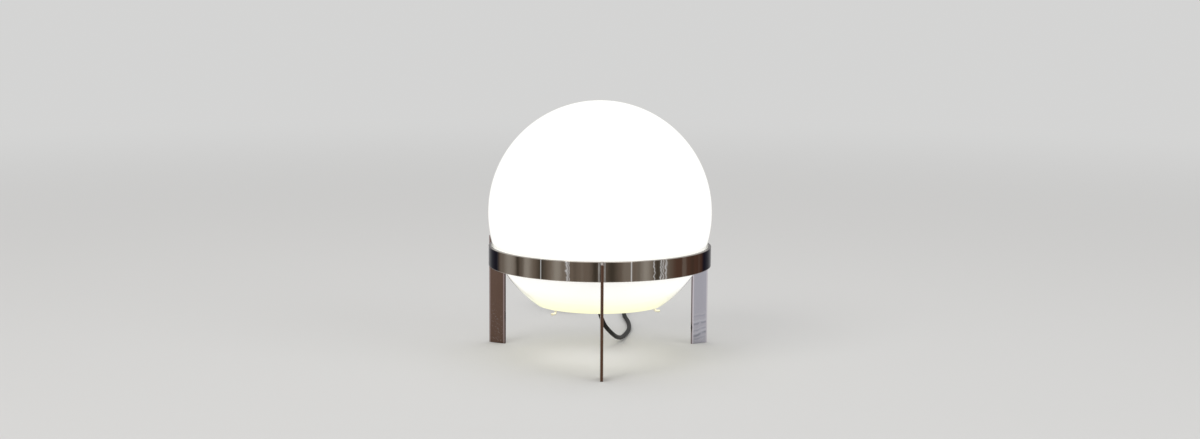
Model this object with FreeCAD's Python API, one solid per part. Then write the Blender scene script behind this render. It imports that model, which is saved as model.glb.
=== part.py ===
import FreeCAD, Part
import math
import os

# Globe table lamp: a glass globe standing in a flat-bar ring on three blade legs.
# Millimetres, +Z up. Everything is drawn about the lamp's own axis, with the front leg
# towards -Y, and moved at the end so that the origin is under the middle of the lamp's box.

# --- Stand ---
RING_OUTER_R = 126.0
BAR_THICK = 3.2
BAR_HEIGHT = 22.2
RING_TOP = 126.7
LEG_OUTER_R = 147.0
LEG_AZIMUTHS = {"leg_front": 0.0, "leg_right": 120.0, "leg_left": -120.0}
EDGE_BREAK = 0.4
WELD_R = 2.6
SEAT_THICK = 1.1
SEAT_HEIGHT = 10.0

# --- Glass globe ---
GLOBE_R = 127.0
GLASS_WALL = 3.0
MOUTH_MID_R = 73.0
REST_GAP = 0.3

# --- Spring arms that clip over the mouth of the globe ---
ARM_AZIMUTHS = {"spring_arm_front": -49.5, "spring_arm_right": 70.5, "spring_arm_rear": -169.5}
ARM_WIRE_R = 1.4
ARM_PIVOT = (29.4, 108.8)
ARM_KNEE = (35.0, 107.6)
ARM_CREST = (74.2, 68.8)
ARM_HEEL = (61.3, 54.8)
ARM_TIP = (70.9, 54.8)
ARM_BENDS = (6.0, 3.5, 3.0)

# --- Lampholder, from the cord outlet upwards ---
OUTLET_Z = 50.0
GLAND_Z = 71.0
CAP_Z = 78.0
BARREL_Z = 97.0
INSERT_TOP = 104.0
SHOULDER_Z = 108.0
BARREL_TOP = 129.0
BARREL_R = 20.5
THREADED_R = 18.5
INSERT_R = 17.5
BORE_R = 16.6
CORD_END_Z = 85.0
COLLAR_THICK = 1.6
COLLAR_R = 23.0
LUG_R = 27.6
LUG_WIDTH = 7.0
SHADE_RING_TOP = 116.0
SHADE_RING_R = 23.5
TERMINAL_X = 11.5

# --- Bulb with a medium screw cap, seven threads to the inch ---
THREAD_PITCH = 25.4 / 7.0
BULB_TIP_Z = 106.5
BULB_CORE_R = 12.2
BULB_CREST_R = 13.0
SHELL_R = 13.4
SHELL_CREST_R = 12.6
SHELL_WALL = 0.5
BULB_R = 30.0
BULB_MIDDLE_Z = 183.0
BULB_WALL = 1.0
FILAMENT_R = 0.45

# --- Power cord ---
CORD_R = 2.5
CORD_LIE = 2.6
COIL_MIDDLE = (-28.0, 316.0)
COIL_PITCH = 5.5
COIL_INNER_R = 20.0
COIL_TURNS = 7
COIL_LIE = 3.7
TIE_THICK = 0.9
TIE_WIDTH = 9.0
SWITCH_MIDDLE = (36.0, 297.0)
SWITCH_SIZE = (24.0, 58.0, 17.0)
SWITCH_INLET_Z = 7.5
SWITCH_SPLIT_Z = 9.0
SWITCH_WALL = 2.0
ROCKER_TILT = 7.0
ROCKER_PIVOT_Z = 13.0
ROCKER_PIN_R = 1.0
PLUG_TURN = -60.0
PLUG_Z = 19.4

# Where the lamp's axis stands in the row's frame: its box reaches from the front
# leg's outer edge to the back of the globe.
AXIS_Y = (LEG_OUTER_R - GLOBE_R) / 2

RING_INNER_R = RING_OUTER_R - BAR_THICK
RING_BOTTOM = RING_TOP - BAR_HEIGHT
SEAT_R = RING_INNER_R - SEAT_THICK
GLOBE_Z = RING_TOP + math.sqrt((GLOBE_R + REST_GAP) ** 2 - SEAT_R**2)
COIL_OUTER_R = COIL_INNER_R + COIL_PITCH * COIL_TURNS / 2
COIL_TOP_LAYER = COIL_LIE + COIL_PITCH
COIL_BACK = COIL_MIDDLE[1] + COIL_OUTER_R

# Routes of the cord's free stretches, chosen point by point: (x, y, z).
LANDING = (32.9, 105.0, (3.8 + CORD_LIE) / 2)
DROP_ROUTE = [
    (0.0, 0.0, OUTLET_Z),
    (0.0, 0.0, 43.0),
    (4.6, 5.2, 32.0),
    (12.4, 17.5, 22.5),
    (18.6, 36.0, 14.5),
    (23.4, 58.0, 8.2),
    (28.6, 82.0, 3.8),
    LANDING,
]
FLOOR_ROUTE = [
    LANDING,
    (37.2, 128.0, CORD_LIE),
    (39.4, 155.0, CORD_LIE),
    (39.0, 188.0, CORD_LIE),
    (36.2, 216.0, CORD_LIE),
    (34.8, 240.0, CORD_LIE + 0.4),
    (36.0, 258.0, SWITCH_INLET_Z),
    (36.0, 268.0, SWITCH_INLET_Z),
]
LINK_ROUTE = [
    (36.0, 326.0, SWITCH_INLET_Z),
    (36.0, 334.0, SWITCH_INLET_Z),
    (33.0, 344.5, 5.6),
    (25.6, 352.8, 4.0),
    (15.4, 357.2, COIL_LIE),
    (4.0, 357.8, COIL_LIE),
    (-9.0, COIL_BACK, COIL_LIE),
    (COIL_MIDDLE[0] + 2 * CORD_R, COIL_BACK, COIL_LIE),
]
PLUG_ROUTE = [
    (COIL_MIDDLE[0] - 2 * CORD_R, COIL_BACK, COIL_TOP_LAYER),
    (-42.0, COIL_BACK, COIL_TOP_LAYER),
    (-52.4, 351.0, 11.0),
    (-59.6, 342.2, 14.2),
    (-61.8, 330.8, 17.6),
    (-58.6, 319.86, PLUG_Z),
    (-53.6, 311.2, PLUG_Z),
]


def vec(x, y, z):
    return FreeCAD.Vector(x, y, z)


Z_AXIS = vec(0, 0, 1)
ORIGIN = vec(0, 0, 0)


def turned(outline):
    """A solid of revolution about the axis. An entry is (r, z), or (r, z, r, z) for an
    arc through the first point to the second."""
    edges = []
    last = outline[0]
    for item in list(outline[1:]) + [outline[0]]:
        start = vec(last[-2], 0, last[-1])
        end = vec(item[-2], 0, item[-1])
        if len(item) == 4:
            edges.append(Part.Arc(start, vec(item[0], 0, item[1]), end).toShape())
        else:
            edges.append(Part.LineSegment(start, end).toShape())
        last = item
    face = Part.Face(Part.Wire(edges))
    return face.revolve(ORIGIN, Z_AXIS, 360)


def band(inner, outer, low, high, chamfer=0.0):
    """A ring of rectangular section, with its corners broken."""
    c = chamfer
    outline = [
        (inner, low + c), (inner, high - c), (inner + c, high), (outer - c, high),
        (outer, high - c), (outer, low + c), (outer - c, low), (inner + c, low),
    ]
    if not c:
        outline = [(inner, low), (inner, high), (outer, high), (outer, low)]
    return turned(outline)


def box(x0, x1, y0, y1, z0, z1):
    return Part.makeBox(x1 - x0, y1 - y0, z1 - z0, vec(x0, y0, z0))


def rod(radius, start, end):
    way = end - start
    return Part.makeCylinder(radius, way.Length, start, way)


def prism(corners, height, low):
    """An upright prism over corners (x, y)."""
    points = [vec(x, y, low) for x, y in corners]
    return Part.Face(Part.makePolygon(points + points[:1])).extrude(vec(0, 0, height))


def about_axis(shape, azimuth):
    """A copy turned about the lamp's axis; azimuth 0 is the front, positive to the right."""
    copy = shape.copy()
    copy.rotate(ORIGIN, Z_AXIS, azimuth)
    return copy


def sweep(edges, radius):
    """A round bar or tube of that radius along tangent edges."""
    path = Part.Wire(edges)
    first = path.OrderedEdges[0]
    start = first.valueAt(first.FirstParameter)
    along = first.tangentAt(first.FirstParameter)
    section = Part.Wire(Part.makeCircle(radius, start, along))
    solid = path.makePipeShell([section], True, False)
    if solid.Volume < 0:
        solid.reverse()
    return solid


def rounded_edges(points, radii=None):
    """Straight runs joined by tangent arcs. Without radii, each arc is as large as its
    two runs allow. Returns the edges, the length and the radii."""
    points = [vec(*p) for p in points]
    runs = [b - a for a, b in zip(points, points[1:])]
    edges, length, used = [], 0.0, []
    start = points[0]
    for i in range(1, len(points) - 1):
        before, after = runs[i - 1], runs[i]
        turn = before.getAngle(after)
        if radii is None:
            trim = 0.45 * min(before.Length, after.Length)
            radius = trim / math.tan(turn / 2)
        else:
            radius = radii[i - 1]
            trim = radius * math.tan(turn / 2)
        used.append(radius)
        enter = points[i] - before.normalize() * trim
        leave = points[i] + FreeCAD.Vector(after).normalize() * trim
        middle = (enter + leave) / 2
        inward = middle - points[i]
        sagitta = radius * (1 - math.cos(turn / 2))
        top = middle - inward.normalize() * sagitta
        edges.append(Part.LineSegment(start, enter).toShape())
        edges.append(Part.Arc(enter, top, leave).toShape())
        length += (enter - start).Length + radius * turn
        runs[i] = points[i + 1] - points[i]
        start = leave
    edges.append(Part.LineSegment(start, points[-1]).toShape())
    length += (points[-1] - start).Length
    return edges, length, used


def cord_tube(name, route):
    """One free stretch of the cord, with its length, volume and bend radii printed."""
    edges, length, radii = rounded_edges(route)
    solid = sweep(edges, CORD_R)
    expected = math.pi * CORD_R**2 * length
    print(f"{name}: length {length:.1f}, volume / (section x length) {solid.Volume / expected:.4f}")
    print("   bend radii", [round(r, 1) for r in radii])
    return solid


# --- Stand ---------------------------------------------------------------

def ring_band():
    return band(RING_INNER_R, RING_OUTER_R, RING_BOTTOM, RING_TOP, EDGE_BREAK)


def blade_leg():
    """An upright blade, edge on to the ring, its inner edge scribed to the ring's curve."""
    half = BAR_THICK / 2
    blade = box(-half, half, -LEG_OUTER_R, -RING_OUTER_R + 2, 0, RING_TOP)
    outer = [e for e in blade.Edges if e.BoundBox.YMax < -RING_OUTER_R - 1]
    outer += [e for e in blade.Edges if e.BoundBox.ZMax - e.BoundBox.ZMin < 1 and e.Length > 10]
    blade = blade.makeChamfer(EDGE_BREAK, outer)
    return blade.cut(Part.makeCylinder(RING_OUTER_R, RING_TOP + 2, vec(0, 0, -1)))


def weld_fillet(side):
    """The hollow bead where one face of a blade meets the ring; side is 1 or -1."""
    half = BAR_THICK / 2
    cx = half + WELD_R
    cy = -math.sqrt((RING_OUTER_R + WELD_R) ** 2 - cx**2)
    middle = vec(cx, cy, 0)
    corner = vec(half, -math.sqrt(RING_OUTER_R**2 - half**2), 0)
    on_blade = vec(half, cy, 0)
    on_ring = middle * (RING_OUTER_R / (RING_OUTER_R + WELD_R))
    bead = middle + ((on_blade + on_ring) / 2 - middle).normalize() * WELD_R
    ring_mid = ((corner + on_ring) / 2).normalize() * RING_OUTER_R
    wire = Part.Wire([
        Part.LineSegment(corner, on_blade).toShape(),
        Part.Arc(on_blade, bead, on_ring).toShape(),
        Part.Arc(on_ring, ring_mid, corner).toShape(),
    ])
    solid = Part.Face(wire).extrude(vec(0, 0, BAR_HEIGHT - 2 * EDGE_BREAK))
    solid.translate(vec(0, 0, RING_BOTTOM + EDGE_BREAK))
    return solid if side > 0 else solid.mirror(ORIGIN, vec(1, 0, 0))


def weld_fillets():
    beads = [weld_fillet(side) for side in (1, -1)]
    return Part.makeCompound([about_axis(b, a) for a in LEG_AZIMUTHS.values() for b in beads])


def seat_strip():
    """Thin clear strip inside the ring's top edge, which the glass rests on."""
    return band(SEAT_R, RING_INNER_R, RING_TOP - SEAT_HEIGHT, RING_TOP)


# --- Globe -----------------------------------------------------------------

def glass_globe():
    """Blown shell, open below, with a fire-rounded lip."""
    mid = GLOBE_R - GLASS_WALL / 2
    inner = GLOBE_R - GLASS_WALL
    ex = MOUTH_MID_R / mid
    ez = -math.sqrt(1 - ex**2)
    lip = (mid * ex + GLASS_WALL / 2 * ez, GLOBE_Z + mid * ez - GLASS_WALL / 2 * ex)
    return turned([
        (0, GLOBE_Z + GLOBE_R),
        (GLOBE_R, GLOBE_Z, GLOBE_R * ex, GLOBE_Z + GLOBE_R * ez),
        (lip[0], lip[1], inner * ex, GLOBE_Z + inner * ez),
        (inner, GLOBE_Z, 0, GLOBE_Z + inner),
    ])


# --- Spring arms -----------------------------------------------------------

def spring_arm():
    """One bent wire: from its eye at the collar, out over the lip, back in and hooked."""
    points = [(0, -r, z) for r, z in (ARM_PIVOT, ARM_KNEE, ARM_CREST, ARM_HEEL, ARM_TIP)]
    edges, _, _ = rounded_edges(points, ARM_BENDS)
    wire = sweep(edges, ARM_WIRE_R)
    for end in (points[0], points[-1]):
        wire = wire.fuse(Part.makeSphere(ARM_WIRE_R, vec(*end)))
    return wire.removeSplitter()


def spring_collar():
    """Pressed steel collar with a lug behind each spring arm."""
    top = SHOULDER_Z + COLLAR_THICK
    collar = Part.makeCylinder(COLLAR_R, COLLAR_THICK, vec(0, 0, SHOULDER_Z))
    half = LUG_WIDTH / 2
    lug = box(-half, half, -LUG_R, -THREADED_R, SHOULDER_Z, top)
    tips = [e for e in lug.Edges if e.BoundBox.ZMax - e.BoundBox.ZMin > 1 and e.BoundBox.YMax < -LUG_R + 1]
    lug = lug.makeFillet(half * 0.6, tips)
    for azimuth in ARM_AZIMUTHS.values():
        collar = collar.fuse(about_axis(lug, azimuth))
    hole = Part.makeCylinder(THREADED_R, 10, vec(0, 0, SHOULDER_Z - 2))
    return collar.cut(hole).removeSplitter()


def shade_ring():
    """Ring nut that clamps the collar, with finger grooves round its rim."""
    low = SHOULDER_Z + COLLAR_THICK
    ring = band(THREADED_R, SHADE_RING_R, low, SHADE_RING_TOP, 0.5)
    grooves = 24
    for i in range(grooves):
        angle = 2 * math.pi * i / grooves
        at = vec((SHADE_RING_R + 0.5) * math.cos(angle), (SHADE_RING_R + 0.5) * math.sin(angle), low - 1)
        ring = ring.cut(Part.makeCylinder(1.1, SHADE_RING_TOP - low + 2, at))
    return ring


# --- Lampholder ------------------------------------------------------------

def strain_relief():
    """Tapered sleeve round the cord, with a plain head that the gland nut grips."""
    head, tip = 6.0, 3.6
    sleeve = turned([
        (CORD_R, OUTLET_Z), (tip, OUTLET_Z), (head - 0.6, GLAND_Z - 1),
        (head, GLAND_Z), (head, CAP_Z), (CORD_R, CAP_Z),
    ])
    for i in range(4):
        low = OUTLET_Z + 3.5 + 4.2 * i
        sleeve = sleeve.cut(band(tip + 0.12 + 0.42 * i, head + 2, low, low + 1.4))
    return sleeve


def gland_nut():
    across = 17.0
    corner = across / math.sqrt(3)
    angles = [math.radians(60 * i) for i in range(6)]
    corners = [(corner * math.cos(a), corner * math.sin(a)) for a in angles]
    nut = prism(corners, CAP_Z - GLAND_Z, GLAND_Z)
    bevel = turned([(0, GLAND_Z), (across / 2 - 0.3, GLAND_Z), (across / 2 + 2, GLAND_Z + 1.6),
                    (across / 2 + 2, CAP_Z), (0, CAP_Z)])
    return nut.common(bevel).cut(Part.makeCylinder(6.0, 20, vec(0, 0, GLAND_Z - 5)))


def holder_cap():
    return turned([
        (CORD_R, CAP_Z), (10, CAP_Z), (10, CAP_Z + 3), (17.2, CAP_Z + 7, BARREL_R, CAP_Z + 14),
        (BARREL_R, BARREL_Z), (18.4, BARREL_Z), (18.4, CAP_Z + 14), (15.6, CAP_Z + 8.4, 9, CAP_Z + 5.2),
        (CORD_R, CAP_Z + 5.2),
    ])


def holder_barrel():
    """Moulded barrel: a grip part below its shoulder, a threaded part above."""
    outline = [(INSERT_R, BARREL_Z), (BARREL_R, BARREL_Z)]
    for i in range(3):
        low = BARREL_Z + 1.6 + 3.0 * i
        groove = BARREL_R - 0.6
        outline += [(BARREL_R, low), (groove, low + 0.5), (groove, low + 1.1), (BARREL_R, low + 1.6)]
    outline += [(BARREL_R, SHOULDER_Z), (THREADED_R, SHOULDER_Z), (THREADED_R, SHADE_RING_TOP)]
    pitch, depth = 1.6, 0.5
    threads = 7
    for i in range(threads):
        low = SHADE_RING_TOP + 0.4 + pitch * i
        outline += [(THREADED_R, low), (THREADED_R - depth, low + pitch / 2)]
    outline += [(THREADED_R, SHADE_RING_TOP + 0.4 + pitch * threads),
                (THREADED_R, BARREL_TOP - 0.4), (THREADED_R - 0.4, BARREL_TOP), (BORE_R, BARREL_TOP),
                (BORE_R, INSERT_TOP), (INSERT_R, INSERT_TOP)]
    return turned(outline)


def terminal_screw():
    """Cheese-head screw, slotted, driven up into the ceramic insert."""
    head = Part.makeCylinder(2.8, 1.9, vec(TERMINAL_X, 0, BARREL_Z - 1.9))
    slot = box(TERMINAL_X - 4, TERMINAL_X + 4, -0.4, 0.4, BARREL_Z - 2, BARREL_Z - 1.2)
    shank = Part.makeCylinder(1.5, 5, vec(TERMINAL_X, 0, BARREL_Z))
    return head.cut(slot).fuse(shank)


def terminal_screws():
    screw = terminal_screw()
    return Part.makeCompound([about_axis(screw, a) for a in (0, 180)])


def holder_insert():
    """Ceramic disc that carries the contacts."""
    disc = band(2.0, INSERT_R, BARREL_Z, INSERT_TOP)
    for screw in terminal_screws().Solids:
        disc = disc.cut(screw)
    return disc


def helix_ridge(radius, crest, low, turns, phase):
    """A ridge of triangular section along a right-hand helix, rooted a little past radius."""
    root = radius - 0.25 if crest > radius else radius + 0.25
    path = Part.makeHelix(THREAD_PITCH, THREAD_PITCH * turns, root)
    half = 0.95
    corners = [vec(root, 0, -half), vec(crest, 0, -0.2), vec(crest, 0, 0.2), vec(root, 0, half)]
    section = Part.makePolygon(corners + corners[:1])
    ridge = Part.Wire(path).makePipeShell([section], True, True)
    ridge.translate(vec(0, 0, low))
    ridge.rotate(ORIGIN, Z_AXIS, phase)
    return ridge


def screw_shell():
    """Thin threaded brass shell; its ridge lies half a pitch from the bulb's."""
    shell = turned([
        (9.0, INSERT_TOP), (SHELL_R + SHELL_WALL, INSERT_TOP), (SHELL_R + SHELL_WALL, 127.0),
        (SHELL_R, 127.0), (SHELL_R, INSERT_TOP + SHELL_WALL), (9.0, INSERT_TOP + SHELL_WALL),
    ])
    ridge = helix_ridge(SHELL_R, SHELL_CREST_R, 109.5, 4, 180.0)
    return shell.fuse(ridge)


def centre_contact():
    """Sprung brass tongue under the bulb's tip."""
    thick = 0.6
    low = INSERT_TOP
    high = BULB_TIP_Z - REST_GAP
    outline = [(6.0, low), (6.0, low + thick), (3.4, low + thick), (1.8, high), (-3.0, high),
               (-3.0, high - thick), (1.4, high - thick), (3.0, low)]
    points = [vec(x, -2.2, z) for x, z in outline]
    return Part.Face(Part.makePolygon(points + points[:1])).extrude(vec(0, 4.4, 0))


def cord_tail():
    """The cord inside the strain relief, gland and cap."""
    return Part.makeCylinder(CORD_R, CORD_END_Z - OUTLET_Z, vec(0, 0, OUTLET_Z))


def lead_wires():
    """The two cores, from the stripped cord to the terminals."""
    reach = TERMINAL_X - 1.0
    route = [(1.2, 0, CORD_END_Z), (1.2, 0, 88.0), (reach, 0, 91.0), (reach, 0, BARREL_Z - 1.9)]
    edges, _, _ = rounded_edges(route, (2.0, 2.0))
    core = sweep(edges, 0.8)
    return Part.makeCompound([about_axis(core, a) for a in (0, 180)])


# --- Bulb ------------------------------------------------------------------

def bulb_tip():
    low, high = BULB_TIP_Z, BULB_TIP_Z + 1.2
    return turned([(0, low), (2.6, low), (3.45, low + 0.35, 3.8, high), (0, high)])


def bulb_insulator():
    low = BULB_TIP_Z + 1.2
    rim = BULB_CORE_R - 0.6
    return turned([(0, low), (5.0, low), (rim, low + 3.0), (rim, low + 4.2), (0, low + 4.2)])


def bulb_cap():
    """Thin threaded cap with a plain skirt."""
    low = BULB_TIP_Z + 4.2
    core = turned([
        (BULB_CORE_R - 0.6, low), (BULB_CORE_R, low), (BULB_CORE_R, 127.2), (13.3, 128.4), (13.3, 133.0),
        (12.8, 133.0), (12.8, 128.8), (BULB_CORE_R - 0.6, 127.6),
    ])
    return core.fuse(helix_ridge(BULB_CORE_R, BULB_CREST_R, 112.3, 3.6, 0.0))


def bulb_outline(inset):
    """Half profile of the bulb's glass, drawn in by inset."""
    r = BULB_R - inset
    across = r * math.sqrt(0.5)
    neck = 12.5 - inset
    return [
        (neck, 129.5), (neck + 0.9, 143.0),
        (neck + 3.4, 153.0, across, BULB_MIDDLE_Z - across),
        (r, BULB_MIDDLE_Z, 0, BULB_MIDDLE_Z + r),
    ]


def bulb_glass():
    outer = bulb_outline(0.0)
    inner = bulb_outline(BULB_WALL)
    solid = turned([(0, 129.5)] + outer)
    hollow = turned([(0, 129.5)] + inner)
    return solid.cut(hollow)


def bulb_stem():
    """Glass mount inside the neck, which carries the lead wires."""
    stem = turned([
        (0, 127.8), (9.0, 127.8), (12.4, 129.0), (12.4, 129.5), (11.0, 129.5), (6.0, 131.0), (3.8, 152.0),
        (4.6, 156.0), (3.0, 158.5), (0, 159.5),
    ])
    return stem.cut(bulb_leads())


def bulb_leads():
    """Two lead wires spreading from the stem to the ends of the filament."""
    wires = [rod(0.35, vec(s * 1.2, 0, 155.0), vec(s * 13.0, 0, 182.0)) for s in (1, -1)]
    return Part.makeCompound([wire.cut(bulb_filament()) for wire in wires])


def bulb_filament():
    """The coiled filament, as the fine rod that the eye sees, in three spans."""
    low, high = 182.4, 186.0
    tips = [(-13.0, 0, low), (-4.6, 3.6, high), (4.6, 3.6, high), (13.0, 0, low)]
    return sweep(rounded_edges(tips)[0], FILAMENT_R)


# --- Cord, switch, coil and plug -------------------------------------------

def biarc(a, along_a, b, along_b):
    """Two tangent arcs from a to b with the given unit directions."""
    gap = b - a
    both = along_a + along_b
    # |b - a - d (ta + tb)| = 2 d
    qa = both.dot(both) - 4
    qb = -2 * gap.dot(both)
    qc = gap.dot(gap)
    d = (-qb - math.sqrt(qb * qb - 4 * qa * qc)) / (2 * qa)
    first, second = a + along_a * d, b - along_b * d
    joint = (first + second) / 2
    edges = []
    for start, corner, end in ((a, first, joint), (joint, second, b)):
        middle = (start + end) / 2
        half = (end - start).Length / 2
        lean = math.atan2((corner - middle).Length, half)
        top = middle + (corner - middle).normalize() * half * math.tan(lean / 2)
        edges.append(Part.Arc(start, top, end).toShape())
    return edges


def coil_point(turn):
    """Centre line of the coil: spiral in on the lower layer, climb over the half turn
    at the middle, spiral out on the upper layer. The turn starts at the back."""
    half = COIL_TURNS / 2
    radius = COIL_OUTER_R - COIL_PITCH * (half - abs(turn - half))
    climb = min(1.0, max(0.0, (turn - half + 0.25) / 0.5))
    rise = COIL_PITCH * (3 * climb**2 - 2 * climb**3)
    angle = math.radians(90 + 360 * turn)
    return vec(
        COIL_MIDDLE[0] + radius * math.cos(angle),
        COIL_MIDDLE[1] + radius * math.sin(angle),
        COIL_LIE + rise,
    )


def coil_way(turn):
    """Direction of the coil's centre line there."""
    step = 1e-4
    half = COIL_TURNS / 2
    before, after = max(0.0, turn - step), min(COIL_TURNS, turn + step)
    if abs(turn - half) < step or turn in (0.0, COIL_TURNS):
        angle = math.radians(180 + 360 * turn)
        way = vec(math.cos(angle), math.sin(angle), 0)
        if abs(turn - half) < step:
            chord = coil_point(after) - coil_point(before)
            way.z = chord.z / chord.Length
        return way.normalize()
    return (coil_point(after) - coil_point(before)).normalize()


def coil_edges():
    quarters = COIL_TURNS * 4
    lead = vec(2 * CORD_R, 0, 0)
    start, end = coil_point(0), coil_point(COIL_TURNS)
    edges = [Part.LineSegment(start + lead, start).toShape()]
    for i in range(quarters):
        a, b = i / 4, (i + 1) / 4
        edges += biarc(coil_point(a), coil_way(a), coil_point(b), coil_way(b))
    edges.append(Part.LineSegment(end, end - lead).toShape())
    return edges


def least_gap(edges):
    """Least clear space between the tube and itself, measured on points a few mm apart."""
    points, along = [], [0.0]
    for e in edges:
        count = max(3, int(e.Length / 2))
        step = (e.LastParameter - e.FirstParameter) / count
        points += [e.valueAt(e.FirstParameter + step * k) for k in range(count)]
    for a, b in zip(points, points[1:]):
        along.append(along[-1] + (b - a).Length)
    apart = 12 * CORD_R
    gap = min(
        (points[i] - points[j]).Length
        for i in range(len(points))
        for j in range(i + 1, len(points))
        if along[j] - along[i] > apart
    )
    return gap - 2 * CORD_R


def cord_coil():
    edges = coil_edges()
    length = sum(e.Length for e in edges)
    solid = sweep(edges, CORD_R)
    expected = math.pi * CORD_R**2 * length
    print(f"cord_coil: length {length:.1f}, volume / (section x length) {solid.Volume / expected:.4f}")
    print(f"   least gap to itself {least_gap(edges):.2f}, inner radius {COIL_INNER_R}, outer {COIL_OUTER_R}")
    return solid


def coil_tie():
    """Flat hook-and-loop strap round all the turns, on the side towards the switch."""
    inner = COIL_INNER_R - CORD_R - 0.6
    outer = COIL_OUTER_R + CORD_R + 0.6
    low, high = COIL_LIE - CORD_R - 0.2, COIL_TOP_LAYER + CORD_R + 0.2
    half = TIE_WIDTH / 2
    hull = box(-half, half, -outer - TIE_THICK, -inner + TIE_THICK, low - TIE_THICK, high + TIE_THICK)
    upright = [e for e in hull.Edges if e.BoundBox.XMax - e.BoundBox.XMin > TIE_WIDTH - 0.1]
    hull = hull.makeFillet(TIE_THICK, upright)
    strap = about_axis(hull.cut(box(-half - 1, half + 1, -outer, -inner, low, high)), 90)
    strap.translate(vec(COIL_MIDDLE[0], COIL_MIDDLE[1], 0))
    return strap


def switch_body(low, high):
    """Half of the in-line switch's case, solid, with rounded ends in plan."""
    x, y = SWITCH_MIDDLE
    half_x, half_y = SWITCH_SIZE[0] / 2, SWITCH_SIZE[1] / 2
    block = box(x - half_x, x + half_x, y - half_y, y + half_y, low, high)
    upright = [e for e in block.Edges if e.BoundBox.ZMax - e.BoundBox.ZMin > high - low - 0.1]
    return block.makeFillet(7.0, upright)


def switch_hollow(low, high):
    x, y = SWITCH_MIDDLE
    half_x, half_y = SWITCH_SIZE[0] / 2 - SWITCH_WALL, SWITCH_SIZE[1] / 2 - 3 * SWITCH_WALL
    return box(x - half_x, x + half_x, y - half_y, y + half_y, low, high)


def switch_screw_places():
    x, y = SWITCH_MIDDLE
    return [(x - 7.6, y + 19.4), (x + 7.6, y - 19.4)]


def switch_posts():
    return [Part.makeCylinder(3.0, SWITCH_SIZE[2], vec(px, py, 0)) for px, py in switch_screw_places()]


def switch_screws():
    """Two screws, let into the underside of the case."""
    screws = []
    for px, py in switch_screw_places():
        head = Part.makeCylinder(2.5, 1.6, vec(px, py, 1.0))
        shank = Part.makeCylinder(1.2, 10.0, vec(px, py, 2.6))
        slot = box(px - 3, px + 3, py - 0.35, py + 0.35, 0.9, 1.7)
        screws.append(head.cut(slot).fuse(shank))
    return Part.makeCompound(screws)


def screw_holes():
    holes = []
    for px, py in switch_screw_places():
        holes.append(Part.makeCylinder(2.6, 2.6, vec(px, py, 0)))
        holes.append(Part.makeCylinder(1.2, 10.0, vec(px, py, 2.6)))
    return holes


def switch_case_lower():
    case = switch_body(0.0, SWITCH_SPLIT_Z)
    low_edges = [e for e in case.Edges if e.BoundBox.ZMax < 0.01]
    case = case.makeChamfer(0.8, low_edges)
    hollow = switch_hollow(SWITCH_WALL, SWITCH_SPLIT_Z + 1)
    for post in switch_posts():
        hollow = hollow.cut(post)
    case = case.cut(hollow)
    for hole in screw_holes():
        case = case.cut(hole)
    return case


def switch_case_upper():
    top = SWITCH_SIZE[2]
    case = switch_body(SWITCH_SPLIT_Z, top)
    rim = [e for e in case.Edges if e.BoundBox.ZMin > top - 0.01]
    case = case.makeFillet(2.4, rim)
    hollow = switch_hollow(SWITCH_SPLIT_Z - 1, top - SWITCH_WALL)
    for post in switch_posts():
        hollow = hollow.cut(post)
    case = case.cut(hollow)
    for hole in screw_holes():
        case = case.cut(hole)
    x, y = SWITCH_MIDDLE
    return case.cut(box(x - 5.5, x + 5.5, y - 10.5, y + 10.5, top - SWITCH_WALL - 1, top + 1))


def switch_rocker():
    """Rocker with a dished top, modelled pressed to its ON side, on a cross pivot."""
    x, y = SWITCH_MIDDLE
    pivot_z = ROCKER_PIVOT_Z
    top = SWITCH_SIZE[2] + 1.6
    outline = [vec(x - 5.0, y - 9.2, pivot_z + 1.2), vec(x - 5.0, y - 9.0, top), vec(x - 5.0, y + 9.0, top),
               vec(x - 5.0, y + 9.2, pivot_z + 1.2), vec(x - 5.0, y, pivot_z - 3.4)]
    side = Part.Wire([
        Part.LineSegment(outline[0], outline[1]).toShape(),
        Part.Arc(outline[1], vec(x - 5.0, y, top - 1.5), outline[2]).toShape(),
        Part.LineSegment(outline[2], outline[3]).toShape(),
        Part.LineSegment(outline[3], outline[4]).toShape(),
        Part.LineSegment(outline[4], outline[0]).toShape(),
    ])
    rocker = Part.Face(side).extrude(vec(10.0, 0, 0))
    rocker = rocker.cut(rod(ROCKER_PIN_R + 0.05, vec(x - 12, y, pivot_z), vec(x + 12, y, pivot_z)))
    rocker.rotate(vec(x, y, pivot_z), vec(1, 0, 0), ROCKER_TILT)
    return rocker


def rocker_pin():
    """Steel pin across the case, which the rocker tips on."""
    x, y = SWITCH_MIDDLE
    reach = SWITCH_SIZE[0] / 2 - SWITCH_WALL
    return rod(ROCKER_PIN_R, vec(x - reach, y, ROCKER_PIVOT_Z), vec(x + reach, y, ROCKER_PIVOT_Z))


def switch_contacts():
    """Two brass strips on the floor of the case."""
    x, y = SWITCH_MIDDLE
    low, high = SWITCH_WALL, SWITCH_WALL + 0.8
    middles = (x + 4.4, x - 4.4)
    return Part.makeCompound([box(m - 1.6, m + 1.6, y - 14, y + 14, low, high) for m in middles])


def place_plug(shape):
    """Moves a plug piece, drawn pointing along +X from the cord's end, to where it lies."""
    copy = shape.copy()
    copy.rotate(ORIGIN, Z_AXIS, PLUG_TURN)
    copy.translate(vec(*PLUG_ROUTE[-1]))
    return copy


PLUG_RELIEF = 22.0
PLUG_LENGTH = 27.0


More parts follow.
